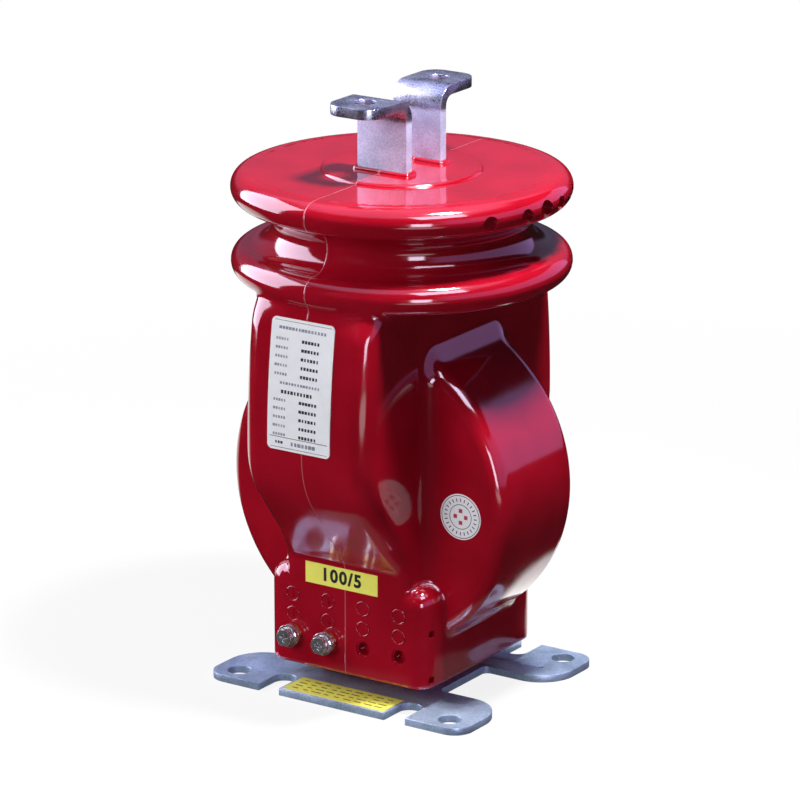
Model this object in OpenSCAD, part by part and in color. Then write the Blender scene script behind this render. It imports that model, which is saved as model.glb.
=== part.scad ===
// Wound current transformer, cast resin, indoor 25 kV class.
// Frame: origin on the floor under the middle of the base plate, +Z up,
// the secondary terminals and the nameplate face -Y.

/* [Base plate] */
// overall size across the ears, along X
plate_x = 182; // [160:1:220]
// overall size along Y
plate_y = 150.6; // [140:0.2:180]
// sheet thickness
plate_t = 4.5; // [3:0.5:8]
// fixing hole pitch along X
fix_x = 150; // [130:1:180]
// fixing hole pitch along Y
fix_y = 125; // [110:1:150]
// fixing hole diameter (for M12)
fix_d = 14; // [9:0.5:18]
// outer corner radius of an ear
ear_r_out = 12; // [6:1:20]
// inner corner radius of an ear
ear_r_in = 23; // [6:1:24]
// width of the side gap between the ears
side_gap = 50.6; // [30:0.2:60]
// half width of the plate inside the side gap
waist_x = 43.5; // [38:0.5:50]
// middle of an end notch from the centre line
notch_x = 44.75; // [40:0.25:60]
// width of an end notch
notch_w = 14.5; // [8:0.5:18]
// depth of an end notch
notch_l = 23.5; // [12:0.5:28]

/* [Terminal block] */
// block width along X
block_x = 112; // [96:1:120]
// block depth along Y
block_y = 120; // [100:1:120]
// radius of the corner columns
column_r = 10.5; // [6:0.5:12]
// height of the straight part of the columns
column_z = 66; // [50:1:70]
// underside of the block over the floor
block_z = 15.6; // [10:0.2:20]
// bottom edge chamfer
block_c = 2.5; // [1:0.5:4]
// side of the square foot under the block
foot_x = 70; // [60:1:74]
// pitch of the secondary positions
term_pitch = 25; // [20:0.5:28]
// height of the secondary terminals
term_z = 34.5; // [30:0.5:40]
// pitch of the marking rows above them
mark_pitch = 12.5; // [10:0.5:14]

/* [Front and rear bulges] */
// width of a bulge along X, and of the upright core between them
bulge_x = 87.4; // [76:0.2:90]
// furthest reach of a bulge from the middle
bulge_y = 103.7; // [98:0.1:108]
// height of its widest point
bulge_z = 160.5; // [150:0.5:170]
// radius of its lower curve
bulge_r = 53.5; // [48:0.1:58]
// radius of its upright edges
bulge_edge = 12; // [5:0.5:16]

/* [Side drum] */
// drum radius
drum_r = 96.5; // [88:0.5:99]
// drum width along Y
drum_y = 80; // [76:1:90]
// drum centre height
drum_z = 124; // [118:1:130]
// edge radius of the drum
drum_edge = 9; // [4:0.5:12]

/* [Sheds] */
// shed radius
shed_r = 100; // [92:1:110]
// shed thickness, full round edge
shed_t = 18.6; // [14:0.2:24]
// middle height of the lower shed
shed_low = 257.2; // [254:0.2:262]
// middle height of the upper shed
shed_high = 301.5; // [298:0.5:310]
// neck radius between the sheds
neck_r = 76.5; // [70:0.5:84]
// boss radius on the top face
boss_r = 47.5; // [40:0.5:60]
// boss height
boss_h = 2; // [1:0.5:4]

/* [Primary terminals] */
// bar width
bar_w = 34; // [25:1:40]
// bar thickness
bar_t = 6; // [4:0.5:8]
// clear distance between the two bars
bar_gap = 30; // [24:1:40]
// height of the tongue top
bar_z = 358; // [345:1:370]
// tongue tip from the middle
bar_tip = 56; // [50:1:64]
// bolt hole distance from the middle
bar_hole = 38; // [34:1:42]
// bolt hole diameter (for M12)
bar_d = 13.5; // [9:0.5:15]
// outer bend radius
bar_bend = 12; // [9:0.5:16]

/* [Inside] */
// primary coil: middle height
coil_z = 184; // [178:1:188]
// primary coil: mean radius
coil_r = 64; // [58:1:66]
// primary coil: radial build
coil_h = 16; // [10:1:20]
// primary coil: width along X
coil_w = 20; // [12:1:24]
// wrap thickness over the coil
coil_wrap_t = 2; // [1:0.5:4]
// core: inner radius
core_ri = 44; // [40:1:48]
// core: outer radius
core_ro = 66; // [60:1:68]
// core: strip width along Y
core_w = 40; // [30:1:44]
// wrap thickness over the core
core_wrap_t = 1.5; // [1:0.5:3]
// winding thickness over the wrapped core
winding_t = 5.5; // [3:0.5:7]
// screen thickness over the winding
screen_t = 2; // [1:0.5:3]

/* [Plates and stickers] */
// nameplate width
name_w = 43.4; // [30:0.2:56]
// nameplate height
name_h = 77.4; // [60:0.2:84]
// nameplate middle height
name_z = 203; // [196:0.5:206]
// ratio label width
ratio_w = 51; // [30:1:70]
// ratio label height
ratio_h = 13; // [8:0.5:14]
// ratio label middle height
ratio_z = 75.5; // [73:0.5:76]
// round sticker radius
sticker_r = 13.8; // [8:0.2:14]
// base label size along X
base_label_x = 71.5; // [40:0.5:74]
// base label size along Y
base_label_y = 21.5; // [10:0.5:22]

/* [Show] */
// which piece to draw

/* [Hidden] */
$fn = 96;

red = [0.62, 0.03, 0.06];
zinc = [0.70, 0.72, 0.75];
tin = [0.74, 0.75, 0.78];
copper = [0.72, 0.40, 0.26];
brass = [0.76, 0.62, 0.32];
paper = [0.80, 0.70, 0.50];
iron = [0.35, 0.36, 0.38];
yellow = [0.92, 0.88, 0.40];
white = [0.93, 0.93, 0.92];

// sheds and neck
tube_r = shed_t / 2;
shed_top = shed_high + tube_r;
neck_z0 = shed_low + tube_r;
neck_z1 = shed_high - tube_r;
groove_r = (neck_z1 - neck_z0) / 2;
groove_z = (neck_z1 + neck_z0) / 2;
boss_top = shed_top + boss_h;
boss_edge = min(1.6, 0.8 * boss_h);
// round recesses in the rim of the upper shed: small ones and a wide one in their middle
mark_z = shed_high - 1.8;
mark_r = 4.9;
mark_deep = 2.6;
mid_mark_r = 6.4;
mid_mark_deep = 4;

// block
front_y = block_y / 2;
side_x = block_x / 2;
col_x = side_x - column_r;
col_y = front_y - column_r;
// square recesses in the sides of the block, near its front face
side_mark = 4;
side_mark_deep = 3;
side_mark_y = front_y - 10;
side_mark_z = [21.5, 50];

// bulge profile, in the YZ plane: a wide upper arc, a lower arc and a slope tangent to it
arc_y = bulge_y - bulge_r;
top_arc_r = 515;
slope_a = atan(0.75);
slope_y = arc_y + bulge_r * cos(slope_a);
slope_z = bulge_z - bulge_r * sin(slope_a);
slope_l = (slope_y - front_y) / sin(slope_a);
slope_foot = slope_z - slope_l * cos(slope_a);
chin_r = 8;
chin_z = slope_foot - chin_r * (1 - cos(slope_a)) / sin(slope_a);

// core side fillet over the drum: it meets the drum on a line of slope 56 in 33
core_hx = bulge_x / 2;
drum_hy = drum_y / 2;
hip_r = max(2, (33 * drum_r - 65 * core_hx) / 32);
hip_z = drum_z + sqrt(pow(drum_r + hip_r, 2) - pow(core_hx + hip_r, 2));
// fillet between drum and block side
heel_r = 6;
heel_z = drum_z - sqrt(pow(drum_r + heel_r, 2) - pow(side_x + heel_r, 2));
// upright fillet between bulge side and drum face
cheek_r = 10;

// bars
bar_y0 = bar_gap / 2;
bar_y1 = bar_y0 + bar_t;
bar_foot = 262;
tail_w = coil_w;
tail_t = 5;
tail_top = 292;
rivet_r = 3;
rivet_z = 270;
rivet_pitch = 14;
collar_h = 3.5;
collar_reach = 2.5;
collar_r = 2.4;

// rings
wind_ri = core_ri - core_wrap_t;
wind_ro = core_ro + core_wrap_t;
wind_hy = core_w / 2 + core_wrap_t;
scr_ri = wind_ri - winding_t;
scr_ro = wind_ro + winding_t;
scr_hy = wind_hy + winding_t;
out_ri = scr_ri - screen_t;
out_ro = scr_ro + screen_t;
out_hy = scr_hy + screen_t;
wrap_ri = coil_r - coil_h / 2 - coil_wrap_t;
wrap_ro = coil_r + coil_h / 2 + coil_wrap_t;
wrap_hx = coil_w / 2 + coil_wrap_t;

// secondary hardware
insert_r = 6;
insert_out = 2.5;
insert_in = 21;
screw_r = 3;
screw_l = 16;
washer_t = 1.2;
spring_t = 1.5;
spring_r = 5.3;
head_h = 4;
head_af = 10;
washer_r = 6.5;
lead_r = 1.5;
stack0 = front_y + insert_out;
stack1 = stack0 + washer_t;
stack2 = stack1 + spring_t;
stack3 = stack2 + washer_t;

// base hardware
foot_pitch = foot_x - 22;
base_ins_r = 8;
base_ins_l = 20;
base_screw_r = 4;
base_head_r = 8;
base_head_h = 4;
base_screw_l = 18;

// plates and stickers
name_x = -1.9;
name_t = 0.5;
name_glue = 0.2;
ratio_x = -2.5;
film_t = 0.3;

module ring_y(ro, ri, hy) {
  translate([0, hy, drum_z]) rotate([90, 0, 0]) difference() {
    cylinder(r = ro, h = 2 * hy);
    translate([0, 0, -1]) cylinder(r = ri, h = 2 * hy + 2);
  }
}

module ring_x(ro, ri, hx) {
  translate([-hx, 0, coil_z]) rotate([0, 90, 0]) difference() {
    cylinder(r = ro, h = 2 * hx);
    translate([0, 0, -1]) cylinder(r = ri, h = 2 * hx + 2);
  }
}

module quads(x, y) {
  for (i = [-1, 1], j = [-1, 1]) translate([i * x, j * y, 0]) children();
}

module both_y() {
  children();
  mirror([0, 1, 0]) children();
}

module both_x() {
  children();
  mirror([1, 0, 0]) children();
}

module rounded(x, y, r) {
  square([x - 2 * r, y], center = true);
  square([x, y - 2 * r], center = true);
  for (i = [-1, 1], j = [-1, 1]) translate([i * (x / 2 - r), j * (y / 2 - r)]) circle(r = r);
}

// base plate with four ears, two notches at each end and a waist at each side
module ear_corner(x, y, r) {
  difference() {
    translate([x - r, y - r]) square([r + 1, r + 1]);
    translate([x - r, y - r]) circle(r = r);
  }
}

module base_plate() {
  fillet = 4;
  hx = plate_x / 2;
  hy = plate_y / 2;
  color(zinc) difference() {
    linear_extrude(height = plate_t) difference() {
      square([plate_x, plate_y], center = true);
      both_x() both_y() {
        ear_corner(hx, hy, ear_r_out);
        mirror([0, 1, 0]) ear_corner(hx, -side_gap / 2, ear_r_in);
        translate([fix_x / 2, fix_y / 2]) circle(d = fix_d);
        translate([notch_x, hy - notch_l + notch_w / 2]) circle(d = notch_w);
        translate([notch_x - notch_w / 2, hy - notch_l + notch_w / 2]) square([notch_w, notch_l]);
        translate([waist_x + fillet, side_gap / 2 - fillet]) circle(r = fillet);
      }
      both_x() {
        translate([waist_x + fillet, -side_gap / 2]) square([hx, side_gap]);
        translate([waist_x, fillet - side_gap / 2]) square([hx, side_gap - 2 * fillet]);
      }
      translate([72.5, 41.5]) circle(d = 3);
    }
    base_screw_solids();
  }
}

// cast resin body
module shed_profile() {
  for (z = [shed_low, shed_high]) {
    translate([0, z - tube_r]) square([shed_r - tube_r, shed_t]);
    translate([shed_r - tube_r, z]) circle(r = tube_r);
  }
  difference() {
    translate([0, neck_z0 - 1]) square([neck_r + groove_r, 2 * groove_r + 2]);
    translate([neck_r + groove_r, groove_z]) circle(r = groove_r);
  }
  polygon([[0, shed_top - 1], [boss_r, shed_top - 1], [boss_r, boss_top - boss_edge],
    [boss_r - boss_edge, boss_top], [0, boss_top]]);
}

module sheds() {
  rotate_extrude() intersection() {
    shed_profile();
    square([shed_r + 1, 500]);
  }
}

module drum() {
  e = drum_edge;
  translate([0, drum_hy, drum_z]) rotate([90, 0, 0]) rotate_extrude() {
    square([drum_r - e, drum_y]);
    translate([0, e]) square([drum_r, drum_y - 2 * e]);
    for (h = [e, drum_y - e]) translate([drum_r - e, h]) circle(r = e);
  }
}

// upright core over the drum with a hip fillet at each side, seen from the front
module core_profile() {
  cx = core_hx + hip_r;
  translate([-core_hx, drum_z]) square([2 * core_hx, shed_low - drum_z]);
  both_x() difference() {
    polygon([[core_hx - 20, hip_z], [core_hx, hip_z], [cx, hip_z], [0, drum_z], [0, drum_z + 20]]);
    translate([cx, hip_z]) circle(r = hip_r);
  }
}

module heel_profile() {
  cx = side_x + heel_r;
  k = drum_r / (drum_r + heel_r);
  both_x() difference() {
    polygon([[side_x - 12, heel_z - 2], [side_x, heel_z], [cx, heel_z],
      [cx * k, drum_z + (heel_z - drum_z) * k], [side_x - 12, heel_z + 8]]);
    translate([cx, heel_z]) circle(r = heel_r);
  }
}

module slab_y(hy) {
  translate([0, hy, 0]) rotate([90, 0, 0]) linear_extrude(height = 2 * hy) children();
}

module upright_core() {
  slab_y(drum_hy - drum_edge) {
    core_profile();
    heel_profile();
  }
}

// one bulge, drawn at the rear; its rounded section is swept round two arcs and down a slope
module bulge_section(r, deep) {
  e = bulge_edge;
  hx = bulge_x / 2;
  translate([r - deep, -hx]) square([deep - e, 2 * hx]);
  translate([r - deep, e - hx]) square([deep, 2 * (hx - e)]);
  for (s = [-1, 1]) translate([r - e, s * (hx - e)]) circle(r = e);
}

module bulge_body() {
  up_a = asin((shed_low - bulge_z) / top_arc_r);
  run = slope_l + 14;
  in_r = bulge_r - bulge_edge - 1;
  translate([0, arc_y, bulge_z]) rotate([-90, 0, 90]) {
    difference() {
      rotate_extrude() bulge_section(bulge_r, 40);
      translate([-100, -200, -100]) cube(200);
      rotate([0, 0, slope_a]) translate([-100, 0, -100]) cube(200);
    }
    rotate([0, 0, slope_a]) rotate([-90, 0, 0]) linear_extrude(height = run) bulge_section(bulge_r, 40);
  }
  translate([0, bulge_y - top_arc_r, bulge_z]) rotate([90, 0, 90]) rotate_extrude(angle = up_a)
    bulge_section(top_arc_r, 40);
  translate([-bulge_x / 2, 0, 0]) rotate([90, 0, 90]) linear_extrude(height = bulge_x)
    polygon([[0, 60], [front_y - 14, slope_foot - 6],
      [arc_y + in_r * cos(slope_a), bulge_z - in_r * sin(slope_a)], [arc_y + in_r, bulge_z],
      [bulge_y - 9.5 - bulge_edge, shed_low], [0, shed_low]]);
}

// under the shed the corners of a bulge are turned back, so that none sticks out past the rim
module bulge() {
  r = shed_r - 3;
  z = shed_low - 0.75 * tube_r;
  difference() {
    bulge_body();
    rotate_extrude() polygon([[r, z], [r, z + 30], [r + 60, z + 30], [r + 60, z - 18], [r + 15, z - 18]]);
  }
}

module chin() {
  hx = bulge_x / 2 - bulge_edge;
  translate([-hx, 0, 0]) rotate([90, 0, 90]) linear_extrude(height = 2 * hx) difference() {
    polygon([[front_y - 6, chin_z - 2], [front_y, chin_z], [front_y + chin_r, chin_z],
      [front_y + chin_r * (1 - cos(slope_a)), chin_z + chin_r * sin(slope_a)], [front_y - 6, slope_foot]]);
    translate([front_y + chin_r, chin_z]) circle(r = chin_r);
  }
}

// upright fillets between the bulge sides and the drum faces
module cheeks() {
  hx = bulge_x / 2;
  intersection() {
    both_x() both_y() translate([hx, drum_hy, column_z])
      linear_extrude(height = hip_z - column_z) difference() {
        translate([-2, -2]) square([cheek_r + 2, cheek_r + 2]);
        translate([cheek_r, cheek_r]) circle(r = cheek_r);
      }
    slab_y(drum_hy + cheek_r + 1) translate([0, drum_z]) circle(r = drum_r - drum_edge - 1.5);
  }
}

module block() {
  r = column_r;
  translate([0, 0, block_z]) linear_extrude(height = column_z - block_z) rounded(block_x, block_y, r);
  translate([-col_x, -col_y, column_z - 1]) cube([2 * col_x, 2 * col_y, r + 1]);
  quads(col_x, col_y) translate([0, 0, column_z]) sphere(r = r);
  both_x() translate([col_x, col_y, column_z]) rotate([90, 0, 0]) cylinder(r = r, h = 2 * col_y);
  both_y() translate([-col_x, col_y, column_z]) rotate([0, 90, 0]) cylinder(r = r, h = 2 * col_x);
  intersection() {
    translate([0, 0, column_z - 6]) linear_extrude(height = 30) rounded(bulge_x - 1, block_y, 7);
    translate([-60, 0, 0]) rotate([90, 0, 90]) linear_extrude(height = 120)
      polygon([[-front_y, 50], [front_y, 50], [front_y, slope_foot], [front_y - 8, slope_foot],
        [8 - front_y, slope_foot], [-front_y, slope_foot]]);
  }
  translate([-foot_x / 2, -foot_x / 2, plate_t]) cube([foot_x, foot_x, block_z - plate_t + 2]);
}

// chamfer round the bottom of the block
module block_chamfer() {
  c = block_c;
  translate([0, 0, block_z]) {
    both_y() translate([-col_x, front_y, 0]) rotate([90, 0, 90]) linear_extrude(height = 2 * col_x)
      polygon([[-c, -0.01], [1, -0.01], [1, c + 1]]);
    both_x() translate([side_x, col_y, 0]) rotate([90, 0, 0]) linear_extrude(height = 2 * col_y)
      polygon([[-c, -0.01], [1, -0.01], [1, c + 1]]);
    both_x() both_y() translate([col_x, col_y, 0]) rotate_extrude(angle = 90)
      polygon([[column_r - c, -0.01], [column_r + 1, -0.01], [column_r + 1, c + 1]]);
  }
}

module rim_marks() {
  for (a = [-26, -10.5, 10.5, 26]) rotate([0, 0, a]) translate([shed_r - mark_deep, 0, mark_z])
    rotate([0, 90, 0]) cylinder(r = mark_r, h = mark_deep + 2);
  translate([shed_r - mid_mark_deep, 0, mark_z]) rotate([0, 90, 0])
    cylinder(r = mid_mark_r, h = mid_mark_deep + 2);
}

module block_marks() {
  for (i = [-1.5, -0.5, 0.5, 1.5], j = [1, 2])
    translate([i * term_pitch, 0.5 - front_y, term_z + j * mark_pitch]) rotate([90, 0, 0]) difference() {
      cylinder(r = 4.6, h = 3);
      translate([0, 0, -1]) cylinder(r = 3.9, h = 5);
    }
  for (i = [0.5, 1.5]) translate([i * term_pitch, 0.5 - front_y, term_z]) rotate([90, 0, 0]) {
    cylinder(r = 5.2, h = 3);
    translate([0, 0, -6]) cylinder(r = 4.2, h = 8);
  }
  half = side_mark / 2;
  both_x() for (z = side_mark_z) translate([side_x - side_mark_deep, -side_mark_y - half, z - half])
    cube([2 * side_mark_deep, side_mark, side_mark]);
}

module bar_collars() {
  both_y() translate([0, (bar_y0 + bar_y1) / 2, boss_top - 1]) linear_extrude(height = collar_h + 1)
    rounded(bar_w + 2 * collar_reach, bar_t + 2 * collar_reach, collar_r);
}

module resin_body() {
  color(red) difference() {
    union() {
      sheds();
      drum();
      upright_core();
      both_y() bulge();
      both_y() chin();
      cheeks();
      block();
      bar_collars();
    }
    block_chamfer();
    rim_marks();
    block_marks();
    terminal_rear();
    terminal_front();
    tail_solids();
    rivet_solids();
    ring_x(wrap_ro, wrap_ri, wrap_hx);
    ring_y(out_ro, out_ri, out_hy);
    spacer_solid();
    lead(1.5);
    lead(0.5);
    screen_wire();
    insert_solids();
    base_insert_solids();
  }
}

// primary terminals: bars that leave the boss upright and bend outwards
module bar_solid() {
  w = bar_w / 2;
  cy = bar_y0 + bar_bend;
  r = 11;
  difference() {
    intersection() {
      translate([-w, 0, 0]) rotate([90, 0, 90]) linear_extrude(height = bar_w) {
        translate([bar_y0, bar_foot]) square([bar_t, bar_z - bar_bend - bar_foot]);
        translate([cy, bar_z - bar_t]) square([bar_tip - cy, bar_t]);
        intersection() {
          difference() {
            translate([cy, bar_z - bar_bend]) circle(r = bar_bend);
            translate([cy, bar_z - bar_bend]) circle(r = bar_bend - bar_t);
          }
          translate([bar_y0, bar_z - bar_bend]) square([bar_bend, bar_bend]);
        }
      }
      translate([0, 0, bar_foot - 1]) linear_extrude(height = bar_z - bar_foot + 2) {
        translate([-w, 0]) square([bar_w, bar_tip - r]);
        translate([r - w, 0]) square([bar_w - 2 * r, bar_tip]);
        for (s = [-1, 1]) translate([s * (w - r), bar_tip - r]) circle(r = r);
      }
    }
    translate([0, bar_hole, bar_z - bar_t - 1]) cylinder(d = bar_d, h = bar_t + 2);
    rivet_solids();
  }
}

module terminal_rear() {
  color(tin) bar_solid();
}

module terminal_front() {
  color(tin) mirror([0, 1, 0]) bar_solid();
}

// coil tails and rivets that join the coil to the bars
module tail_solids() {
  both_y() difference() {
    translate([-tail_w / 2, bar_y0 - tail_t, coil_z]) cube([tail_w, tail_t, tail_top - coil_z]);
    translate([-tail_w, 0, coil_z]) rotate([0, 90, 0]) cylinder(r = coil_r + coil_h / 2, h = 2 * tail_w);
  }
}

module rivet_solids() {
  both_y() for (z = [rivet_z, rivet_z + rivet_pitch]) translate([0, bar_y1, z]) rotate([90, 0, 0])
    cylinder(r = rivet_r, h = bar_t + tail_t);
}

module coil_tails() {
  color(copper) difference() {
    tail_solids();
    rivet_solids();
  }
}

module joint_rivets() {
  color(copper) rivet_solids();
}

module primary_coil() {
  color(copper) ring_x(coil_r + coil_h / 2, coil_r - coil_h / 2, coil_w / 2);
}

module coil_wrap() {
  color(paper) difference() {
    ring_x(wrap_ro, wrap_ri, wrap_hx);
    ring_x(coil_r + coil_h / 2, coil_r - coil_h / 2, coil_w / 2);
    tail_solids();
  }
}

// spacer that keeps the coil in the middle of the core window
module spacer_solid() {
  intersection() {
    difference() {
      translate([-7, -9, drum_z - out_ri - 1]) cube([14, 18, out_ri]);
      translate([-10, 0, coil_z]) rotate([0, 90, 0]) cylinder(r = wrap_ro, h = 20);
    }
    translate([0, 10, drum_z]) rotate([90, 0, 0]) cylinder(r = out_ri, h = 20);
  }
}

module coil_spacer() {
  color(paper) spacer_solid();
}

module core() {
  color(iron) ring_y(core_ro, core_ri, core_w / 2);
}

module core_wrap() {
  color(paper) difference() {
    ring_y(wind_ro, wind_ri, wind_hy);
    ring_y(core_ro, core_ri, core_w / 2);
  }
}

module secondary_winding() {
  color(copper) difference() {
    ring_y(scr_ro, scr_ri, scr_hy);
    ring_y(wind_ro, wind_ri, wind_hy);
  }
}

module winding_screen() {
  color(iron) difference() {
    ring_y(out_ro, out_ri, out_hy);
    ring_y(scr_ro, scr_ri, scr_hy);
    lead(1.5);
    lead(0.5);
  }
}

// secondary leads, from a terminal insert up to the winding
module lead(i) {
  y1 = insert_in - front_y;
  translate([-i * term_pitch, y1 + 14, term_z]) {
    sphere(r = lead_r);
    rotate([90, 0, 0]) cylinder(r = lead_r, h = 14);
    difference() {
      cylinder(r = lead_r, h = 40);
      translate([i * term_pitch, 40, drum_z - term_z]) rotate([90, 0, 0]) cylinder(r = scr_ro, h = 80);
    }
  }
}

module lead_s1() {
  color(copper) lead(1.5);
}

module lead_s2() {
  color(copper) lead(0.5);
}

// wire from the screen to an earthed foot insert
module screen_wire() {
  x = foot_pitch / 2;
  translate([x, x, plate_t + base_ins_l]) difference() {
    cylinder(r = 1, h = 60);
    translate([-x, 60, drum_z - plate_t - base_ins_l]) rotate([90, 0, 0]) cylinder(r = out_ro, h = 120);
  }
}

module screen_lead() {
  color(copper) screen_wire();
}

// secondary terminal hardware, at the two left positions
module at_terms() {
  for (i = [-1.5, -0.5]) translate([i * term_pitch, 0, term_z]) rotate([90, 0, 0]) children();
}

module insert_solids() {
  at_terms() translate([0, 0, front_y - insert_in]) cylinder(r = insert_r, h = insert_in + insert_out);
}

module terminal_inserts() {
  color(brass) difference() {
    insert_solids();
    at_terms() translate([0, 0, stack0 - screw_l]) cylinder(r = screw_r, h = screw_l + 4);
  }
}

module washers(z, t, r) {
  at_terms() translate([0, 0, z]) difference() {
    cylinder(r = r, h = t);
    translate([0, 0, -1]) cylinder(r = screw_r, h = t + 2);
  }
}

module plain_washers() {
  color(zinc) washers(stack0, washer_t, washer_r);
}

module spring_washers() {
  color(zinc) washers(stack1, spring_t, spring_r);
}

module clamp_washers() {
  color(zinc) washers(stack2, washer_t, washer_r + 0.3);
}

module terminal_screws() {
  color(zinc) at_terms() difference() {
    union() {
      translate([0, 0, stack0 - screw_l]) cylinder(r = screw_r, h = stack3 + screw_l + 1 - stack0);
      intersection() {
        translate([0, 0, stack3]) cylinder(r = head_af / 2 / cos(30), h = head_h, $fn = 6);
        translate([0, 0, stack3]) cylinder(r = head_af / 2 + 0.4, h = head_h);
      }
    }
    translate([-2.6, -0.5, stack3 + head_h - 1.8]) cube([5.2, 1, 3]);
    translate([-0.5, -2.6, stack3 + head_h - 1.8]) cube([1, 5.2, 3]);
  }
}

// base hardware: threaded inserts in the foot, countersunk screws from below
module base_insert_solids() {
  quads(foot_pitch / 2, foot_pitch / 2) translate([0, 0, plate_t]) cylinder(r = base_ins_r, h = base_ins_l);
}

module base_screw_solids() {
  quads(foot_pitch / 2, foot_pitch / 2) {
    cylinder(r1 = base_head_r, r2 = base_screw_r, h = base_head_h);
    cylinder(r = base_screw_r, h = base_screw_l);
  }
}

module base_inserts() {
  color(zinc) difference() {
    base_insert_solids();
    base_screw_solids();
  }
}

module base_screws() {
  color(zinc) difference() {
    base_screw_solids();
    quads(foot_pitch / 2, foot_pitch / 2) translate([0, 0, -1]) cylinder(r = 2.9, h = 3.4, $fn = 6);
  }
}

// plates and stickers
module nameplate() {
  color(white) intersection() {
    translate([0, top_arc_r - bulge_y, bulge_z]) rotate([-90, 0, -90]) rotate([0, 0, -12])
      rotate_extrude(angle = 12) translate([top_arc_r + name_glue, -25]) square([name_t, 50]);
    translate([name_x, 24 - bulge_y, name_z]) rotate([90, 0, 0]) linear_extrude(height = 40)
      rounded(name_w, name_h, 3);
  }
}

module ratio_label() {
  color(yellow) translate([ratio_x, -front_y, ratio_z]) rotate([90, 0, 0]) linear_extrude(height = film_t)
    square([ratio_w, ratio_h], center = true);
}

module inspection_sticker() {
  x = core_hx + cheek_r + sticker_r + 0.1;
  color(white) translate([x, -drum_hy, drum_z - 3]) rotate([90, 0, 0]) cylinder(r = sticker_r, h = film_t);
}

module base_label() {
  color(yellow) translate([-base_label_x / 2, 1.7 - plate_y / 2, plate_t])
    cube([base_label_x, base_label_y, film_t]);
}

base_plate();
resin_body();
terminal_front();
terminal_rear();
coil_tails();
joint_rivets();
primary_coil();
coil_wrap();
coil_spacer();
core();
core_wrap();
secondary_winding();
winding_screen();
lead_s1();
lead_s2();
screen_lead();
terminal_inserts();
plain_washers();
spring_washers();
clamp_washers();
terminal_screws();
base_inserts();
base_screws();
nameplate();
ratio_label();
inspection_sticker();
base_label();
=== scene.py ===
"""Looks of a cast-resin wound current transformer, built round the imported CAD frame.

The casting is meshed from a distance field, so that every fillet is a smooth
one; plates, bars and screws are bevelled copies of the CAD nodes; marks, rings
and printed rows come from Geometry Nodes. Lengths are in millimetres until a
mesh is made, and in metres from there on.
"""

import logging
import math
from collections.abc import Callable, Sequence
from dataclasses import dataclass, field
from enum import Enum

import bmesh
import bpy
import numpy as np
from mathutils import Matrix, Vector


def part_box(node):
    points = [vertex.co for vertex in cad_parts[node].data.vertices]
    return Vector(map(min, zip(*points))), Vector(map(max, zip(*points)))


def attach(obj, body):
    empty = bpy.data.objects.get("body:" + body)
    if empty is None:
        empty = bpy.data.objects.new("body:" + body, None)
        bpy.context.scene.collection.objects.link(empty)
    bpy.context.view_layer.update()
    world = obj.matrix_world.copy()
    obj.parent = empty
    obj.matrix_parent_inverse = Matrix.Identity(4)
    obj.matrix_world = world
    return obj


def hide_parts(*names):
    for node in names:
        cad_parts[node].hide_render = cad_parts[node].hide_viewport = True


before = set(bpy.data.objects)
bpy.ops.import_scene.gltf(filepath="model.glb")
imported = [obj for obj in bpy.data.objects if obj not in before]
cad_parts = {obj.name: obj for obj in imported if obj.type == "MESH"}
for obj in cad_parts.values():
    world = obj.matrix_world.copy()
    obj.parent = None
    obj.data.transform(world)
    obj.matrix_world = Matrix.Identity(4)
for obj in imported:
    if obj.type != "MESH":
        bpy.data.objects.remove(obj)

LOG = logging.getLogger("transformer")
MM = 0.001
ROOT = "root"
Colour = tuple[float, float, float]
Material = bpy.types.Material
Piece = bpy.types.Object
Array = np.ndarray
# The share of the word pitch that the longest printed word fills
LONGEST_WORD = 0.92


# Node maths


class Sock:
    """A node socket that takes part in Python expressions on values."""

    def __init__(self, tree: "Tree", socket: bpy.types.NodeSocket) -> None:
        """Keeps the socket and the tree that it belongs to."""
        self.tree, self.socket = tree, socket

    def math(self, operation: str, *others: "Sock | float") -> "Sock":
        """One Math node over this value and others."""
        return self.tree.math(operation, self, *others)

    def __add__(self, other: "Sock | float") -> "Sock":
        """Sum."""
        return self.math("ADD", other)

    def __sub__(self, other: "Sock | float") -> "Sock":
        """Difference."""
        return self.math("SUBTRACT", other)

    def __rsub__(self, other: float) -> "Sock":
        """Difference from a plain number."""
        return self.tree.math("SUBTRACT", other, self)

    def __mul__(self, other: "Sock | float") -> "Sock":
        """Product."""
        return self.math("MULTIPLY", other)

    __radd__ = __add__
    __rmul__ = __mul__

    def __truediv__(self, other: "Sock | float") -> "Sock":
        """Quotient."""
        return self.math("DIVIDE", other)

    def __abs__(self) -> "Sock":
        """Size without sign."""
        return self.math("ABSOLUTE")

    def hypot(self, other: "Sock") -> "Sock":
        """Length of the vector whose two components are self and other."""
        return (self * self + other * other).math("SQRT")

    def step(self, low: float, high: float) -> "Sock":
        """Smooth step from 0 at one value to 1 at another.

        Args:
            low: where it is 0.
            high: where it is 1; may be below low.

        Returns:
            The value between 0 and 1.
        """
        least, most, flip = min(low, high), max(low, high), high < low
        ends = {"From Min": least, "From Max": most, "To Min": float(flip), "To Max": float(not flip)}
        return self.tree.sock("ShaderNodeMapRange", {"Value": self, **ends}, interpolation_type="SMOOTHSTEP")


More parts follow.
